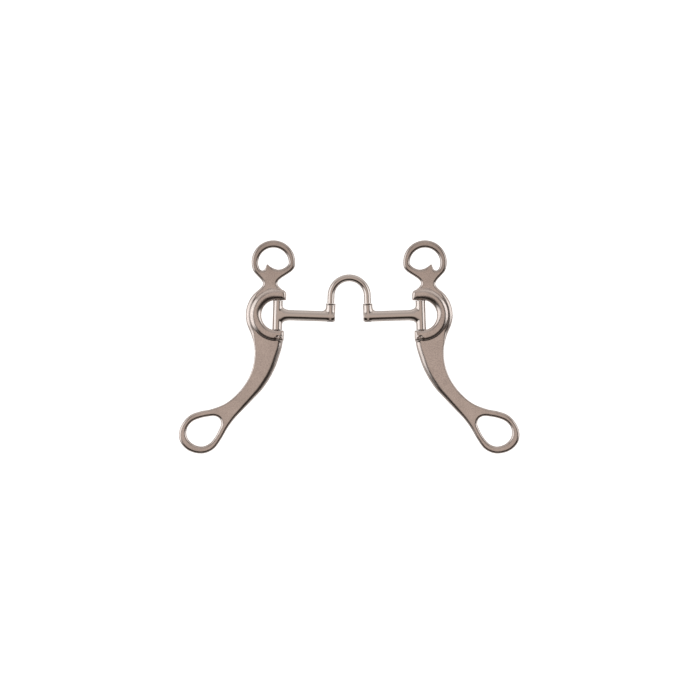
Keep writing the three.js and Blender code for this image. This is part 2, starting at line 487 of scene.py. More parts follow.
class Signal:
    """A node's output that can be used in sums."""

    def __init__(self, sketch: Sketch, socket: bpy.types.NodeSocket) -> None:
        """Keeps the node tree with the output."""
        self.sketch = sketch
        self.socket = socket

    def _math(self, operation: str, first: Signal | float, second: Signal | float) -> Signal:
        """Adds a Math node for two terms."""
        return self.sketch.node("ShaderNodeMath", {"operation": operation}, {0: first, 1: second})

    def __add__(self, other: Signal | float) -> Signal:
        """Sum."""
        return self._math("ADD", self, other)

    __radd__ = __add__

    def __sub__(self, other: Signal | float) -> Signal:
        """Difference."""
        return self._math("SUBTRACT", self, other)

    def __rsub__(self, other: float) -> Signal:
        """Difference, with a number first."""
        return self._math("SUBTRACT", other, self)

    def __mul__(self, other: Signal | float) -> Signal:
        """Product."""
        return self._math("MULTIPLY", self, other)

    __rmul__ = __mul__


class Sketch:
    """A node tree, drawn one node at a time."""

    def __init__(self, tree: bpy.types.NodeTree) -> None:
        """Starts from an empty tree."""
        self.tree = tree
        tree.nodes.clear()

    def node(self, kind: str, settings: dict[str, Any], inputs: dict[Any, Any], output: Any = 0) -> Signal:
        """Adds a node.

        Args:
            kind: the node's type.
            settings: its own properties.
            inputs: values or signals for its sockets, by name or number.
            output: the socket it returns, by name or number.

        Returns:
            The chosen output.
        """
        node = self.tree.nodes.new(kind)
        for key, value in settings.items():
            setattr(node, key, value)
        for key, value in inputs.items():
            if isinstance(value, Signal):
                self.tree.links.new(value.socket, node.inputs[key])
            else:
                node.inputs[key].default_value = value
        return Signal(self, node.outputs[output]) if len(node.outputs) else Signal(self, node.inputs[0])

    def coordinates(self, stretch: tuple[float, float, float] = (1, 1, 1)) -> Signal:
        """Object coordinates, stretched along each axis."""
        place = self.node("ShaderNodeTexCoord", {}, {}, "Object")
        return self.node("ShaderNodeMapping", {}, {"Vector": place, "Scale": stretch})

    def part(self, vector: Signal, axis: str) -> Signal:
        """One part of a vector."""
        return self.node("ShaderNodeSeparateXYZ", {}, {"Vector": vector}, axis)

    def noise(self, vector: Signal, per_metre: float, detail: float, roughness: float = 0.55) -> Signal:
        """Cloudy noise about 0.5, with features 1 / per_metre across."""
        inputs = {"Vector": vector, "Scale": per_metre, "Detail": detail, "Roughness": roughness}
        return self.node("ShaderNodeTexNoise", {}, inputs)

    def between(self, value: Signal, start: float, end: float) -> Signal:
        """0 before start and 1 after end, with a smooth step between. End may be below start."""
        inputs = {"Value": value, "From Min": start, "From Max": end}
        return self.node("ShaderNodeMapRange", {"interpolation_type": "SMOOTHSTEP"}, inputs)

    def blend(self, factor: Signal | float, first: Any, second: Any) -> Signal:
        """Mixes two colours."""
        settings = {"data_type": "RGBA"}
        return self.node("ShaderNodeMix", settings, {"Factor": factor, 6: first, 7: second}, 2)


def paint(colour: Colour) -> tuple[float, float, float, float]:
    """A colour with full alpha."""
    return (*colour, 1.0)


@dataclass(frozen=True)
class SteelFinish:
    """Stainless steel: clean metal, with tarnish and painted shade in its corners and painted shade
    towards +Y, bright rubbed edges and a grain.

    Crevice, edge and pit are where each begins and is full, as pointiness or noise levels. The span along Y
    is the same, as heights in metres, for the painted shade that darkens the colour towards +Y.
    """

    name: str
    metal: Colour
    # The dark colour: tarnish, and painted shade in the crevices and towards +Y.
    shade_and_tarnish: Colour
    roughness: float
    roughness_spread: float
    grain_per_metre: float
    grain_height: float
    grain_stretch: tuple[float, float, float] = (1, 1, 1)
    mottle: float = 0.06
    # Painted shade: the colour darkens towards +Y across this span along Y, in metres.
    painted_shade_from_y: Span = (1.0, 2.0)
    painted_shade_share: float = 0.24
    crevice: Span = (0.42, 0.495)
    edge: Span = (0.52, 0.60)
    pit: Span = (0.70, 0.78)
    edge_polish: float = 0.35
    edge_shine: float = 0.5
    # Tarnish with painted shade, in the concave crevices.
    crevice_tarnish_and_shade: float = 0.75
    crevice_roughness: float = 0.18
    pit_tarnish: float = 0.25
    pit_roughness: float = 0.1
    pit_depth: float = 0.6
    light_tone: float = 1.18
    dark_tone: float = 0.82
    cloud_per_metre: float = 90
    speckle_per_metre: float = 900
    speckle_share: float = 1.4
    pit_per_metre: float = 620

    def make(self) -> bpy.types.Material:
        """Builds the material.

        Returns:
            The finished material.
        """
        material = bpy.data.materials.new(self.name)
        material.use_nodes = True
        sketch = Sketch(material.node_tree)
        place = sketch.coordinates()
        grain_place = sketch.coordinates(self.grain_stretch)
        relief = sketch.node("ShaderNodeNewGeometry", {}, {}, "Pointiness")
        # Painted shade with tarnish: concave crevices, such as the foot of the boss, go darker.
        corner = 1 - sketch.between(relief, *self.crevice)
        edge = sketch.between(relief, *self.edge)
        cloud = sketch.noise(place, self.cloud_per_metre, 4)
        speckle = sketch.noise(place, self.speckle_per_metre, 2)
        grain = sketch.noise(grain_place, self.grain_per_metre, 4, 0.6)
        pits = sketch.between(sketch.noise(place, self.pit_per_metre, 1), *self.pit)

        shade = (cloud - 0.5) * self.mottle + (speckle - 0.5) * (self.speckle_share * self.mottle)
        lighter = tuple(min(1.0, part * self.light_tone) for part in self.metal)
        darker = tuple(part * self.dark_tone for part in self.metal)
        clean = sketch.blend(shade + 0.5, paint(darker), paint(lighter))
        # Painted shade: the colour goes darker towards +Y, over the headstall rings.
        top_painted_shade = sketch.between(sketch.part(place, "Y"), *self.painted_shade_from_y) * self.painted_shade_share
        top_shaded = sketch.blend(top_painted_shade, clean, paint(self.shade_and_tarnish))
        worn = sketch.blend(edge * self.edge_shine, top_shaded, paint(lighter))
        # Tarnish in the pits, and tarnish with painted shade in the crevices.
        tarnish_and_painted_shade = corner * self.crevice_tarnish_and_shade + pits * self.pit_tarnish
        colour = sketch.blend(tarnish_and_painted_shade, worn, paint(self.shade_and_tarnish))

        spread = (grain - 0.5) * self.roughness_spread + (cloud - 0.5) * self.roughness_spread
        polished = (spread + self.roughness) * (1 - edge * self.edge_polish)
        rough = polished + corner * self.crevice_roughness + pits * self.pit_roughness
        inputs = {"Height": grain - pits * self.pit_depth, "Strength": 1.0, "Distance": self.grain_height}
        bump = sketch.node("ShaderNodeBump", {}, inputs)
        inputs = {"Base Color": colour, "Metallic": 1.0, "Roughness": rough, "Normal": bump}
        shader = sketch.node("ShaderNodeBsdfPrincipled", {}, inputs)
        sketch.node("ShaderNodeOutputMaterial", {}, {"Surface": shader})
        return material


CAST_SATIN = SteelFinish(
    name="cast_satin_steel",
    metal=(0.667, 0.598, 0.558),
    shade_and_tarnish=(0.20, 0.165, 0.145),
    roughness=0.20,
    roughness_spread=0.08,
    grain_per_metre=3200,
    grain_height=0.000012,
    mottle=1.1,
    # Painted shade over the headstall rings.
    painted_shade_from_y=(0.056, 0.078),
)

POLISHED = SteelFinish(
    name="polished_mouth_steel",
    metal=(0.70, 0.64, 0.60),
    shade_and_tarnish=(0.24, 0.20, 0.18),
    roughness=0.13,
    roughness_spread=0.06,
    grain_per_metre=1500,
    grain_height=0.000004,
    grain_stretch=(0.25, 1, 1),
    mottle=0.04,
)

TURNED_PIN = SteelFinish(
    name="turned_pin_steel",
    metal=(0.50, 0.46, 0.43),
    shade_and_tarnish=(0.13, 0.11, 0.10),
    roughness=0.34,
    roughness_spread=0.12,
    grain_per_metre=2600,
    grain_height=0.00001,
    grain_stretch=(0.2, 1, 0.2),
    mottle=0.10,
)


def dress(piece: Piece, material: bpy.types.Material, body: str, nodes: Sequence[str]) -> None:
    """Finishes a piece and hangs it on its body.

    Args:
        piece: the piece, in its place.
        material: its finish.
        body: the body it moves with.
        nodes: the frame's nodes that it stands for.
    """
    piece.data.materials.clear()
    piece.data.materials.append(material)
    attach(piece, body)
    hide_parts(*nodes)
    log.info("%s: %d faces on %s", piece.name, len(piece.data.polygons), body)


# ---- Cheek ---------------------------------------------------------------------------------------


@dataclass
class Cheek:
    """One casting: headstall ring, neck, C boss for the hinge, shank and rein loop.

    The shank's rows are places along v, with the plate's half thickness and its inboard edge's reach at
    each. A pit is (u, v, radius, depth), raised where the depth is negative.
    """

    thick: float
    plate: float = 4.8
    boss_u: float = 1.2
    boss_inner: float = 14.2
    boss_outer: float = 24.3
    boss_outer_edge: Rounding = (3.9, 2.6)
    boss_inner_edge: Rounding = (7.0, 3.9)
    boss_end_edge: Rounding = (3.8, 3.0)
    shank_v: tuple[float, ...] = (-116, -100, -89, -65, -40, -24, -12, 14, 30)
    shank_half: tuple[float, ...] = (2.4, 2.4, 2.45, 2.95, 3.4, 3.5, 3.5, 3.5, 2.4)
    shank_roll: tuple[float, ...] = (2.5, 3.3, 4.2, 6.2, 6.5, 6.0, 4.0, 2.4, 2.4)
    plate_reach: float = 2.6
    reach_beside_boss: float = 2.6
    reach_off_outboard: float = 1.6
    spike_reach: float = 0.6
    back_edge: Rounding = (1.6, 0.9)
    middle_blend: Span = (1.0, -1.0)  # across the shank's middle line
    inboard_v: Span = (-18, -26)  # down to the shank's inboard roll
    outboard_v: Span = (-22, -28)  # down to the shank's outboard edge
    outboard_end_v: Span = (-96, -86)  # up from the rein loop
    beside_v: Span = (24, 14)  # from above and below to beside the boss
    beside_u: Span = (20, 24)
    spike_blend: Span = (7.0, 3.0)  # distance from the spike's point
    spike_soft: Span = (6.0, 2.5)
    spike_kept: float = 0.75
    crest_in: float = 5.0
    crest_blend: float = 0.8
    window_u: Span = (-9, -4)  # from the ears' ends, past the C's centre
    window_upper_v: Span = (-9, 5)
    window_outboard_u: Span = (0, 9)
    window_least: float = 0.68
    window_gain: float = 0.32
    end_u: Span = (-4, -7)  # to the ears' ends, past the C's centre
    shank_middle: tuple[Point, ...] = (
        (60, -118), (50, -104), (40, -92), (30, -82), (19, -68), (12, -54), (9, -40), (9, -28), (12, -10),
    )
    top_ear_u: float = -7.7
    bottom_ear_u: float = -6.5
    ear_corner: float = 4.4
    plate_inner: float = 19.0
    bore: float = 2.8
    bore_half: float = 20.8
    ring: tuple[Point, float] = ((5.6, 50.2), 20.75)
    ring_hole: tuple[Point, float] = ((5.5, 49.4), 14.4)
    spike: Point = (11.3, 47.2)
    voxel: float = 0.4
    softness: float = 0.8
    step: float = 0.4
    neck_edge: tuple[Point, ...] = (
        (-5.4, 22.4), (-3, 24.9), (0, 27.6), (1.2, 30.1), (0.2, 32.7), (-3.2, 35.8), (-8, 39.1),
        (-12.3, 42.4),
    )
    outboard_edge: tuple[Point, ...] = (
        (20.2, 36.6), (16.5, 32.8), (14.7, 29.4), (15.9, 26.6), (24.5, 17.8), (29, 8.6), (30.3, -1),
        (28.7, -9.5), (24.5, -19), (21.6, -28), (20.6, -37), (21.8, -49), (26.3, -61.8), (35, -74.6),
        (46.5, -84.9), (60, -90.8), (70, -93.1),
    )
    loop_edge: tuple[Point, ...] = (
        (79.6, -97), (86.4, -104.3), (89.9, -113.5), (88.8, -122.2), (82.7, -129.3), (74, -132.9),
        (64.6, -132.8), (56.2, -128.2),
    )
    inboard_edge: tuple[Point, ...] = (
        (49.6, -118.7), (44, -108.3), (38, -99.6), (30, -90.6), (20, -79.5), (12, -70.3), (5.4, -59.9),
        (0.3, -48.8), (-2.9, -38.5), (-5, -30.4), (-6, -22),
    )
    ring_slot: tuple[Point, ...] = (
        (-7.6, 47.3), (-5, 45.2), (-2, 43.8), (1, 43.3), (4.5, 44.1), (8, 45.7), (10.4, 47.4),
        (11.3, 48.1), (12.1, 47), (12.7, 44.9), (13.8, 42.8), (15.9, 41.9), (18, 43), (19.1, 45.2),
    )
    rein_hole: tuple[Point, ...] = (
        (50.3, -104.4), (51.7, -99.9), (56, -97.5), (63, -98.1), (71, -100.1), (77.6, -103.3),
        (81.9, -108.9), (82.8, -115.2), (80.2, -120.9), (74.8, -125), (67.6, -126.4), (61, -123.6),
        (56, -117.8), (52.3, -110.5),
    )
    pits: tuple[tuple[float, float, float, float], ...] = (
        (-0.7, -20.3, 1.1, 0.6), (-0.2, -23.4, 1.0, 0.5), (-3.4, -21.9, 0.8, 0.3), (-2.6, -19.3, 0.7, -0.2),
        (-1.9, -22.4, 0.6, -0.25), (1.4, -22.1, 0.8, 0.3), (0.9, -19.4, 0.7, -0.15), (-4.4, -19.8, 0.7, 0.2),
    )

    @classmethod
    def of(cls, half: HalfFrame, node: Piece) -> Cheek:
        """A casting as thick as the frame's cheek."""
        low, high = half.extent(node)
        return cls(thick=float(high[2] - low[2]))

    def plate_solid(self) -> Piece:
        """The flat part of the casting, whose edge runs hidden inside the boss.

        Returns:
            The plate with its two holes and rounded edges.
        """
        ring = arc(*self.ring, 192, -26, 5.0)
        visible = [*self.neck_edge, *ring, *self.outboard_edge, *self.loop_edge, *self.inboard_edge]
        hidden = arc((self.boss_u, 0), self.plate_inner, -97, 97, 3.0)
        outline = [*smooth_line(visible, self.step, False), *hidden]
        ring_hole = smooth_line([*arc(*self.ring_hole, -8, 180, 3.6), *self.ring_slot], self.step, True)
        rein_hole = smooth_line(self.rein_hole, self.step, True)
        edges = [Edge(outline), Edge(ring_hole, hole=True), Edge(rein_hole, hole=True)]
        plate = Bench.flat("plate", edges, self.plate / 2)
        Bench.round_over(plate, edges, self.plate / 2, self.voxel, self.plate_section)
        return plate

    def plate_section(self, places: np.ndarray) -> Section:
        """The plate's section: thick under the boss, and rolled right over along the shank's inboard edge.

        Args:
            places: (u, v) rows.

        Returns:
            The section at each.
        """
        u, v = places[:, 0], places[:, 1]
        half = np.interp(v, self.shank_v, self.shank_half)
        inner_half = ramp(self._across(u, v), *self.middle_blend)
        inboard = inner_half * ramp(v, *self.inboard_v)
        outboard = (1 - inner_half) * ramp(v, *self.outboard_v) * ramp(v, *self.outboard_end_v)
        beside = ramp(np.abs(v), *self.beside_v) * ramp(u, *self.beside_u)
        spike = ramp(self._from_spike(u, v), *self.spike_blend)
        rolled = np.interp(v, self.shank_v, self.shank_roll) - self.plate_reach
        reach = self.plate_reach + rolled * inboard
        reach = reach + self.reach_beside_boss * beside - self.reach_off_outboard * outboard
        reach = reach * (1 - spike) + self.spike_reach * spike
        even = np.minimum(half - 0.15, 0.2 + reach * 0.8)
        front = even * (1 - inboard) + np.minimum(2 * half - 1.1, reach * 0.78) * inboard
        back_reach, back_drop = self.back_edge
        back = np.minimum(reach, back_reach), np.full(len(places), back_drop)
        return Section(half, (reach, front), back)

    def _from_spike(self, u: np.ndarray, v: np.ndarray) -> np.ndarray:
        """How far a place is from the spike's point."""
        return np.hypot(u - self.spike[0], v - self.spike[1])

    def _across(self, u: np.ndarray, v: np.ndarray) -> np.ndarray:
        """How far a place is outboard of the shank's middle line."""
        middle = np.array(self.shank_middle, float)
        return u - np.interp(v, middle[:, 1], middle[:, 0])

    def boss_solid(self) -> Piece:
        """The C boss: a half ring with an ear at each end, thicker than the plate.

        Returns:
            The boss, with rounded edges.
        """
        centre = (self.boss_u, 0.0)
        corner = self.ear_corner
        turn = (self.top_ear_u + corner, self.boss_outer - corner)
        ears = [(self.top_ear_u, self.boss_inner), (self.bottom_ear_u, -self.boss_outer)]
        outline = [
            *arc(centre, self.boss_inner, -90, 90, self.step),
            *self._straight((self.boss_u, self.boss_inner), ears[0]),
            *self._straight(ears[0], (self.top_ear_u, turn[1])),
            *arc(turn, corner, 180, 90, self.step),
            *self._straight((turn[0], self.boss_outer), (self.boss_u, self.boss_outer)),
            *arc(centre, self.boss_outer, 90, -90, self.step),
            *self._straight((self.boss_u, -self.boss_outer), ears[1]),
            *self._straight(ears[1], (self.bottom_ear_u, -self.boss_inner)),
            *self._straight((self.bottom_ear_u, -self.boss_inner), (self.boss_u, -self.boss_inner)),
        ]
        edges = [Edge(outline)]
        boss = Bench.flat("boss", edges, self.thick / 2)
        Bench.round_over(boss, edges, self.thick / 2, self.voxel, self.boss_section)
        return boss

    def _straight(self, start: Point, end: Point) -> list[Point]:
        """Points along a straight edge, its ends left out."""
        count = max(2, round(math.dist(start, end) / self.step))
        shares = [i / count for i in range(1, count)]
        return [(start[0] + (end[0] - start[0]) * t, start[1] + (end[1] - start[1]) * t) for t in shares]

    def boss_section(self, places: np.ndarray) -> Section:
        """The boss's section: rolled over widest round the upper part of the hinge window.

        Args:
            places: (u, v) rows.

        Returns:
            The section at each.
        """
        u, v = places[:, 0], places[:, 1]
        out = np.where(u > self.boss_u, np.hypot(u - self.boss_u, v), np.abs(v))
        crest = self.boss_outer - self.crest_in
        window = ramp(out, crest + self.crest_blend, crest - self.crest_blend)
        window = window * ramp(u, *self._past_centre(self.window_u))
        outboard = ramp(u, *self._past_centre(self.window_outboard_u))
        wide = window * (self.window_least + self.window_gain * outboard) * ramp(v, *self.window_upper_v)
        end = ramp(u, *self._past_centre(self.end_u))
        reach, drop = [
            outer + (tip - outer) * end + (inner - outer) * wide
            for outer, inner, tip in zip(self.boss_outer_edge, self.boss_inner_edge, self.boss_end_edge)
        ]
        return Section(np.full(len(places), self.thick / 2), (reach, drop), (reach, drop))

    def _past_centre(self, span: Span) -> Span:
        """A span measured from the C's centre, as u."""
        return self.boss_u + span[0], self.boss_u + span[1]

    def softening(self, corners: np.ndarray) -> np.ndarray:
        """How much each place of the casting's skin is softened: the spike least.

        Args:
            corners: the skin's corners, one row each.

        Returns:
            Weights from 0 to 1.
        """
        spike = ramp(self._from_spike(corners[:, 0], corners[:, 1]), *self.spike_soft)
        return 1 - self.spike_kept * spike

    def dent(self, piece: Piece) -> None:
        """Sinks the pits, and raises the beads, of the weld beside the lower ear's end."""
        corners = Bench.corners(piece)
        for u, v, radius, depth in self.pits:
            away = ((corners[:, 0] - u) ** 2 + (corners[:, 1] - v) ** 2) / radius**2
            corners[:, 2] -= np.where(corners[:, 2] > 0, depth * np.exp(-away), 0)
        piece.data.vertices.foreach_set("co", corners.ravel())

    def master(self) -> Piece:
        """Models the casting once, in the half frame.

        Returns:
            The finished casting.
        """
        body = Bench.join("cheek_casting", self.plate_solid(), self.boss_solid())
        Bench.fuse(body, self.voxel, self.softness, self.softening)
        self.dent(body)
        ends = Vector((0, self.bore_half, 0))
        Bench.cut(body, Bench.rod(-ends, ends, self.bore, 64))
        Bench.smooth_shade(body)
        return body

    @staticmethod
    def place(casting: Piece, half: HalfFrame, steel: bpy.types.Material) -> None:
        """Puts a copy of the casting on one side.

        Args:
            casting: the master.
            half: the side's frame.
            steel: its finish.
        """
        side = half.side.value
        cheek = half.settle(casting, f"{side}_cheek_casting")
        dress(cheek, steel, f"{side}_side", [f"{side}_cheek"])


# ---- Mouth bar -----------------------------------------------------------------------------------


@dataclass
class MouthArm:
    """The bar welded across its hinge tube at the cheek and to the port sleeve at the middle.

    The rim's foot is the outline from the sleeve out to the rim: (how far inside the rim, height).
    """

    tube: float
    tube_half: float
    sleeve_u: float
    sleeve_bottom: float
    sleeve_top: float
    bar: float = 5.0
    bar_v: float = 0.4
    bore: float = 2.8
    flare: float = 8.4
    flare_depth: float = 4.6
    flare_length: float = 7.5
    flare_steps: int = 9
    sleeve: float = 4.5
    sleeve_trim: float = 0.7
    rim: float = 4.75
    rim_height: float = 1.3
    rim_edge: float = 0.35
    rim_seat: float = 0.04
    rim_foot: tuple[Point, ...] = ((0.1, 0.4), (0.0, 0.7))
    rim_inner_edge: float = 0.3
    bar_end: float = 0.97
    fillet: float = 4.0
    fillet_layers: int = 9
    countersink: float = 3.7
    countersink_depth: float = 1.4
    voxel: float = 0.27
    softness: float = 0.95
    hinge_end: Span = (2.2, 0.8)  # distance from the hinge tube's end
    sleeve_end: Span = (2.0, 0.8)  # distance from the rim
    end_kept: float = 0.85

    @classmethod
    def of(cls, half: HalfFrame, hinge_sleeve: Piece, port_sleeve: Piece) -> MouthArm:
        """Reads an arm's set-out from the frame's sleeves.

        Args:
            half: the half's frame.
            hinge_sleeve: the frame's tube round the hinge pin.
            port_sleeve: the frame's tube round the port's leg.

        Returns:
            The arm.
        """
        _, tube_end = half.extent(hinge_sleeve)
        low, high = half.extent(port_sleeve)
        sleeve_u = float(low[0] + high[0]) / 2
        return cls(float(tube_end[0]), float(tube_end[1]), sleeve_u, float(low[1]), float(high[1]))

    def bar_solid(self) -> Piece:
        """The round bar, its outboard end drawn out to a flare that saddles the hinge tube.

        Returns:
            The closed bar.
        """
        allowance = self.softness**2 / 2 / self.bar
        radius = self.bar + allowance
        neck = -self.tube - self.flare_length
        start = self.sleeve_u - self.sleeve * self.bar_end
        bar = Bench.rod(Vector((start, self.bar_v, 0)), Vector((neck, self.bar_v, 0)), radius)
        bpy.ops.object.mode_set(mode="EDIT")
        bpy.ops.mesh.select_all(action="DESELECT")
        bpy.ops.object.mode_set(mode="OBJECT")
        for face in bar.data.polygons:
            face.select = face.normal.x > 0.9
        bpy.ops.object.mode_set(mode="EDIT")
        bpy.ops.mesh.select_mode(type="FACE")
        spans = [self._flare_at(i / self.flare_steps) for i in range(self.flare_steps + 1)]
        for (u0, r0, d0), (u1, r1, d1) in zip(spans, spans[1:]):
            move = {"value": (u1 - u0, 0, 0)}
            bpy.ops.mesh.extrude_region_move(TRANSFORM_OT_translate=move)
            centre = (u1 + neck, self.bar_v, 0)
            bpy.ops.transform.resize(value=(1, r1 / r0, d1 / d0), center_override=centre)
        bpy.ops.mesh.extrude_region_move(TRANSFORM_OT_translate={"value": (self.tube, 0, 0)})
        bpy.ops.object.mode_set(mode="OBJECT")
        return bar

    def _flare_at(self, share: float) -> tuple[float, float, float]:
        """The flare's length from its start, its height and its depth, at a share of its quarter turn."""
        angle = share * math.pi / 2
        length = self.flare_length * math.sin(angle)
        grow = 1 - math.cos(angle)
        height = self.bar + (self.flare - self.bar) * grow
        depth = self.bar + (self.flare_depth - self.bar) * grow
        return length, height, depth

    def fillet_layer(self, share: float) -> Piece:
        """A layer of the weld that fills the corner between the bar and the port sleeve.

        Args:
            share: the layer's half thickness, as a share of the bar's radius.

        Returns:
            The closed layer, with a hollow edge.
        """
        rise = self.bar * share
        fall = math.sqrt(1 - share**2)
        radius = self.fillet * fall
        u, v = self.sleeve_u + self.sleeve * fall, self.bar_v + self.bar * fall
        hollow = arc((u + radius, v + radius), radius, 270, 180, 0.4)
        foot = [(self.sleeve_u, self.bar_v), (u + radius, self.bar_v)]
        outline = [*foot, *hollow, (self.sleeve_u, v + radius)]
        return Bench.flat("fillet_layer", [Edge(outline)], rise)

    def softening(self, corners: np.ndarray) -> np.ndarray:
        """How much each place of the arm is softened: least at the tubes' ends.

        Args:
            corners: the skin's corners, one row each.

        Returns:
            Weights from 0 to 1.
        """
        u, v = corners[:, 0], corners[:, 1]
        begin, full = self.hinge_end
        hinge = ramp(np.abs(v), self.tube_half - begin, self.tube_half - full) * (u > self.sleeve_u / 2)
        begin, full = self.sleeve_end
        rim = self.sleeve_top - self.rim_height
        collar = ramp(v, rim - begin, rim - full) * (u < self.sleeve_u / 2)
        return 1 - self.end_kept * np.maximum(hinge, collar)

    def arm_master(self) -> Piece:
        """Models the welded arm once, in the half frame.

        Returns:
            The finished arm.
        """
        allowance = self.softness**2 / 2 / self.tube
        radius = self.tube + allowance
        ends = Vector((0, self.tube_half, 0))
        hinge = Bench.rod(-ends, ends, radius)
        low = Vector((self.sleeve_u, self.sleeve_bottom + self.sleeve_trim, 0))
        high = Vector((self.sleeve_u, self.sleeve_top - self.rim_height, 0))
        sleeve = Bench.rod(low, high, self.sleeve + self.softness**2 / 2 / self.sleeve)
        layers = [self.fillet_layer((i + 0.5) / self.fillet_layers) for i in range(self.fillet_layers)]
        arm = Bench.join("mouth_arm", self.bar_solid(), hinge, sleeve, *layers)
        Bench.fuse(arm, self.voxel, self.softness, self.softening)
        past = Vector((0, 1, 0))
        hinge_bore = Bench.rod(-ends - past, ends + past, self.bore, 64)
        sleeve_bore = Bench.rod(low - past, high + past, self.bore, 64)
        sink = Bench.rod(low - past, low + past * self.countersink_depth, self.countersink, 64)
        Bench.cut(arm, hinge_bore, sleeve_bore, sink)
        Bench.smooth_shade(arm)
        return arm

    def collar_master(self) -> Piece:
        """Turns the rolled rim on top of the port sleeve, in the half frame.

        Returns:
            The finished rim.
        """
        top = self.sleeve_top
        low = top - self.rim_height + self.rim_seat
        edge = self.rim_edge
        inner = self.rim_inner_edge
        foot = [(self.rim - less, low + rise) for less, rise in self.rim_foot]
        corner = arc((self.rim - edge, top - edge), edge, 0, 90, 0.12)
        mouth = [(self.bore + inner, top), (self.bore, top - inner)]
        profile = [(self.bore, low), (self.sleeve, low), *foot, *corner, *mouth]
        rim = Bench.turned("port_collar", profile, self.sleeve_u)
        Bench.smooth_shade(rim, 50)
        return rim

    @staticmethod
    def place(arm: Piece, collar: Piece, half: HalfFrame, steel: bpy.types.Material) -> None:
        """Puts copies of the arm and its rim on one side.

        Args:
            arm: the arm's master.
            collar: the rim's master.
            half: the side's frame.
            steel: their finish.
        """
        side = half.side.value
        bar = half.settle(arm, f"{side}_mouth_arm")
        dress(bar, steel, f"{side}_arm", [f"{side}_mouth_bar", f"{side}_hinge_sleeve"])
        rim = half.settle(collar, f"{side}_port_collar")
        dress(rim, steel, f"{side}_arm", [f"{side}_port_sleeve"])


# ---- Port ----------------------------------------------------------------------------------------


@dataclass
class Port:
    """The correction port: a rod bent to an upside-down U, with a headed spigot on each leg."""

    crown_y: float
    elbow_x: float
    elbow_y: float
    lean: float
    height: float
    leg_top: float
    leg_end: float
    rod: float = 3.35
    radius: float = 17.2
    spigot: float = 2.5
    head: float = 3.4
    head_depth: float = 1.1
    gap: float = 0.3
    step: float = 0.6
    leg_steps: int = 8

    @classmethod
    def of(cls, frame: dict[str, Any], arm: MouthArm) -> Port:
        """Reads the port's set-out from the frame.

        Args:
            frame: the loaded frame.
            arm: the arm whose sleeve a leg stands in.

        Returns:
            The port.
        """
        _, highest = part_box("port_arch")
        elbow = next(joint for joint in frame["joints"] if joint["name"] == "right_bar_swing")
        axis = Vector(elbow["axis"])
        x, y, z = (part / MM for part in elbow["pos_m"])
        lean = math.atan2(axis.x, -axis.y)
        return cls(highest[1] / MM, x, y, lean, z, leg_top=arm.sleeve_top, leg_end=arm.sleeve_bottom)

    def line(self) -> list[Vector]:
        """The rod's centre line, from the left leg's foot over the crown to the right leg's.

        Returns:
            Points in the row frame, in millimetres.
        """
        centre = (0.0, self.crown_y - self.rod - self.radius)
        lean = math.degrees(self.lean)
        crown = arc(centre, self.radius, 180 - lean, lean, self.step)
        foot = self.leg_top + self.gap
        x = self.elbow_x - foot * math.sin(self.lean)
        y = self.elbow_y + foot * math.cos(self.lean)
        left, right = Vector((-x, y, 0)), Vector((x, y, 0))
        shoulders = [Vector((x, y, 0)) for x, y in crown]
        steps = self.leg_steps
        rise = [left.lerp(shoulders[0], i / steps) for i in range(steps)]
        fall = [shoulders[-1].lerp(right, i / steps) for i in range(1, steps + 1)]
        return [point + UP * self.height for point in [*rise, *shoulders, *fall]]

    def rod_solid(self) -> Piece:
        """Sweeps the rod along its centre line.

        Returns:
            The closed rod, in millimetres.
        """
        curve = bpy.data.curves.new("port_rod", "CURVE")
        curve.dimensions = "3D"
        curve.bevel_depth = self.rod
        curve.bevel_resolution = 14
        curve.use_fill_caps = True
        points = self.line()
        spline = curve.splines.new("POLY")
        spline.points.add(len(points) - 1)
        for knot, place in zip(spline.points, points):
            knot.co = (*place, 1)
        piece = bpy.data.objects.new("port_rod", curve)
        bpy.context.scene.collection.objects.link(piece)
        Bench.hold(piece)
        bpy.ops.object.convert(target="MESH")
        return Bench.close(bpy.context.object)

    def spigot_solid(self) -> Piece:
        """A leg's turned-down end, in the half frame.

        Returns:
            The closed spigot.
        """
        end = self.leg_end
        top = Vector((0, self.leg_top + 2 * self.gap, 0))
        shaft = Bench.rod(Vector((0, end, 0)), top, self.spigot, 64)
        bpy.ops.object.select_all(action="DESELECT")
        bpy.ops.mesh.primitive_cone_add(
            vertices=64, radius1=self.head, radius2=self.spigot, depth=self.head_depth,
            location=(0, end + self.head_depth / 2, 0), rotation=(-math.pi / 2, 0, 0),
        )
        head = bpy.context.object
        Bench.fix_place(head)
        Bench.boolean(shaft, "UNION", [head])
        return shaft

    def make(self, halves: Sequence[HalfFrame], sleeve_u: float, steel: bpy.types.Material) -> None:
        """Puts the port in its place.

        Args:
            halves: both halves' frames.
            sleeve_u: the port sleeve's axis in them.
            steel: its finish.
        """
        rod = self.rod_solid()
        rod.data.transform(Matrix.Scale(MM, 4))
        spigot = self.spigot_solid()
        spigot.data.transform(Matrix.Translation((sleeve_u, 0, 0)))
        Bench.boolean(rod, "UNION", [half.settle(spigot, "spigot") for half in halves])
        bpy.data.objects.remove(spigot)
        rod.name = rod.data.name = "port_rod"
        Bench.smooth_shade(rod)
        dress(rod, steel, "port", ["port_arch"])


# ---- Studio --------------------------------------------------------------------------------------


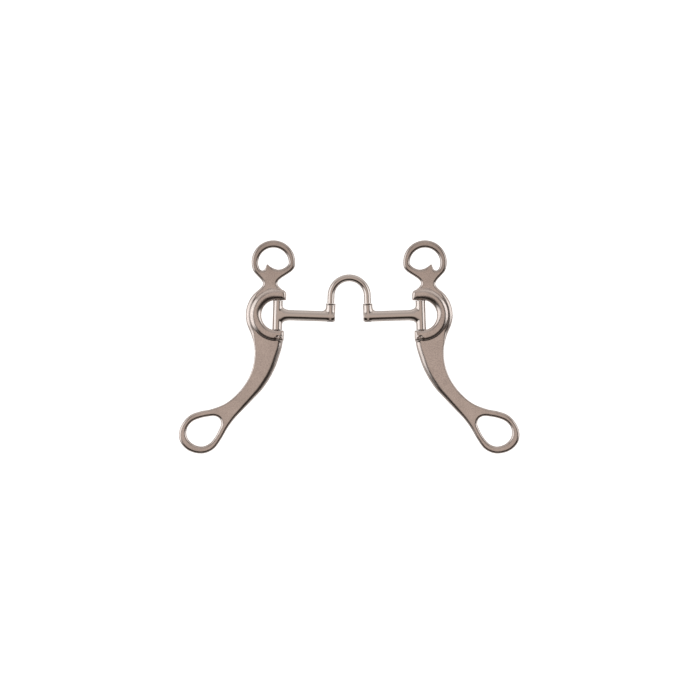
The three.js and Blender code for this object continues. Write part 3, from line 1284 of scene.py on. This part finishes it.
@dataclass(frozen=True)
class Lamp:
    """A round soft panel far away, full inside its inner angle and gone at its outer one.

    Angles are in degrees: azimuth from +X towards +Y, elevation from the table.
    """

    azimuth: float
    elevation: float
    inner: float
    outer: float
    colour: Colour

    @staticmethod
    def cosine(angle: float) -> float:
        """The cosine of an angle in degrees."""
        return math.cos(math.radians(angle))

    def nearness(self, sketch: Sketch, way: Signal) -> Signal:
        """The cosine of the angle between a direction and the panel's middle."""
        turn, rise = math.radians(self.azimuth), math.radians(self.elevation)
        aim = (math.cos(turn) * math.cos(rise), math.sin(turn) * math.cos(rise), math.sin(rise))
        return sketch.node("ShaderNodeVectorMath", {"operation": "DOT_PRODUCT"}, {0: way, 1: aim}, "Value")


@dataclass(frozen=True)
class Studio:
    """A pale table under a warm overhead panel, with bright panels at the sides and none in front.

    Floor_glow is the table's own light, and floor_lift is added to it for the camera alone.
    """

    lamps: tuple[Lamp, ...] = (
        Lamp(azimuth=90, elevation=90, inner=16, outer=31, colour=(0.585, 0.505, 0.462)),
        Lamp(azimuth=90, elevation=16, inner=38, outer=60, colour=(0.52, 0.48, 0.46)),
        Lamp(azimuth=175, elevation=29, inner=21, outer=37, colour=(1.30, 1.28, 1.28)),
        Lamp(azimuth=12, elevation=25, inner=15, outer=30, colour=(1.25, 1.23, 1.23)),
    )
    dark: Colour = (0.030, 0.024, 0.020)
    low: Colour = (0.24, 0.225, 0.215)
    fade: Span = (0.52, 0.22)
    backdrop: Colour = (0.95, 0.95, 0.95)
    floor_size: float = 12.0
    floor_drop: float = 0.18
    floor_albedo: float = 0.9
    floor_glow: float = 0.16
    floor_lift: float = 0.70
    distance: float = 2.5
    sensor: float = 36.0
    span: float = 0.6643
    aim: Point = (0.00076, -0.00292)

    def make_floor(self) -> Piece:
        """Lays the table.

        Returns:
            The table top.
        """
        bpy.ops.object.select_all(action="DESELECT")
        bpy.ops.mesh.primitive_plane_add(size=self.floor_size, location=(0, 0, -self.floor_drop))
        floor = bpy.context.object
        floor.name = "table_top"
        material = bpy.data.materials.new("white_table")
        material.use_nodes = True
        sketch = Sketch(material.node_tree)
        seen = sketch.node("ShaderNodeLightPath", {}, {}, "Is Camera Ray")
        white = paint((self.floor_albedo,) * 3)
        inputs = {"Base Color": white, "Roughness": 0.9, "Specular IOR Level": 0.0}
        matt = sketch.node("ShaderNodeBsdfPrincipled", {}, inputs)
        strength = seen * self.floor_lift + self.floor_glow
        glow = sketch.node("ShaderNodeEmission", {}, {"Strength": strength})
        both = sketch.node("ShaderNodeAddShader", {}, {0: matt, 1: glow})
        sketch.node("ShaderNodeOutputMaterial", {}, {"Surface": both})
        floor.data.materials.append(material)
        return floor

    def make_world(self) -> None:
        """Surrounds the table with soft light."""
        world = bpy.data.worlds.new("studio")
        world.use_nodes = True
        bpy.context.scene.world = world
        sketch = Sketch(world.node_tree)
        way = sketch.node("ShaderNodeTexCoord", {}, {}, "Generated")
        down = sketch.between(sketch.part(way, "Z"), *self.fade)
        light = sketch.blend(down, paint(self.dark), paint(self.low))
        for lamp in self.lamps:
            outer, inner = lamp.cosine(lamp.outer), lamp.cosine(lamp.inner)
            share = sketch.between(lamp.nearness(sketch, way), outer, inner)
            settings = {"data_type": "RGBA", "blend_type": "ADD"}
            inputs = {"Factor": share, 6: light, 7: paint(lamp.colour)}
            light = sketch.node("ShaderNodeMix", settings, inputs, 2)
        seen = sketch.node("ShaderNodeLightPath", {}, {}, "Is Camera Ray")
        shown = sketch.blend(seen, light, paint(self.backdrop))
        glow = sketch.node("ShaderNodeBackground", {}, {"Color": shown, "Strength": 1.0})
        sketch.node("ShaderNodeOutputWorld", {}, {"Surface": glow})

    def make_camera(self) -> None:
        """Hangs the camera straight over the bit."""
        data = bpy.data.cameras.new("overhead_camera")
        data.sensor_width = self.sensor
        data.lens = self.sensor * self.distance / self.span
        data.clip_end = 2 * self.floor_size
        camera = bpy.data.objects.new("overhead_camera", data)
        camera.location = (*self.aim, self.distance)
        bpy.context.scene.collection.objects.link(camera)
        bpy.context.scene.camera = camera

    def make(self) -> None:
        """Sets up the table, the light and the camera."""
        self.make_floor()
        self.make_world()
        self.make_camera()
        bpy.context.scene.view_settings.view_transform = "Standard"


# ---- Assembly ------------------------------------------------------------------------------------


def finish_pins(nodes: dict[str, Piece], steel: bpy.types.Material) -> None:
    """Gives the frame's own hinge pins, which are kept, their finish."""
    for side in Side:
        pin = nodes[f"{side.value}_hinge_pin"]
        pin.data.materials.clear()
        pin.data.materials.append(steel)
        log.info("%s: kept from the frame", pin.name)


def main() -> None:
    """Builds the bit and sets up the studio."""
    logging.basicConfig(level=logging.INFO, format="%(name)s %(message)s")
    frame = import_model()
    nodes = frame["nodes"]
    halves = [HalfFrame.of(side, frame) for side in Side]
    right = next(half for half in halves if half.side is Side.RIGHT)
    cast, polished, turned = CAST_SATIN.make(), POLISHED.make(), TURNED_PIN.make()

    cheek = Cheek.of(right, nodes["right_cheek"])
    arm = MouthArm.of(right, nodes["right_hinge_sleeve"], nodes["right_port_sleeve"])
    masters = cheek.master(), arm.arm_master(), arm.collar_master()
    casting, bar, collar = masters
    for half in halves:
        cheek.place(casting, half, cast)
        arm.place(bar, collar, half, polished)
    for master in masters:
        bpy.data.objects.remove(master)
    Port.of(frame, arm).make(halves, arm.sleeve_u, polished)
    finish_pins(nodes, turned)
    Studio().make()


if __name__ == "__main__":
    main()
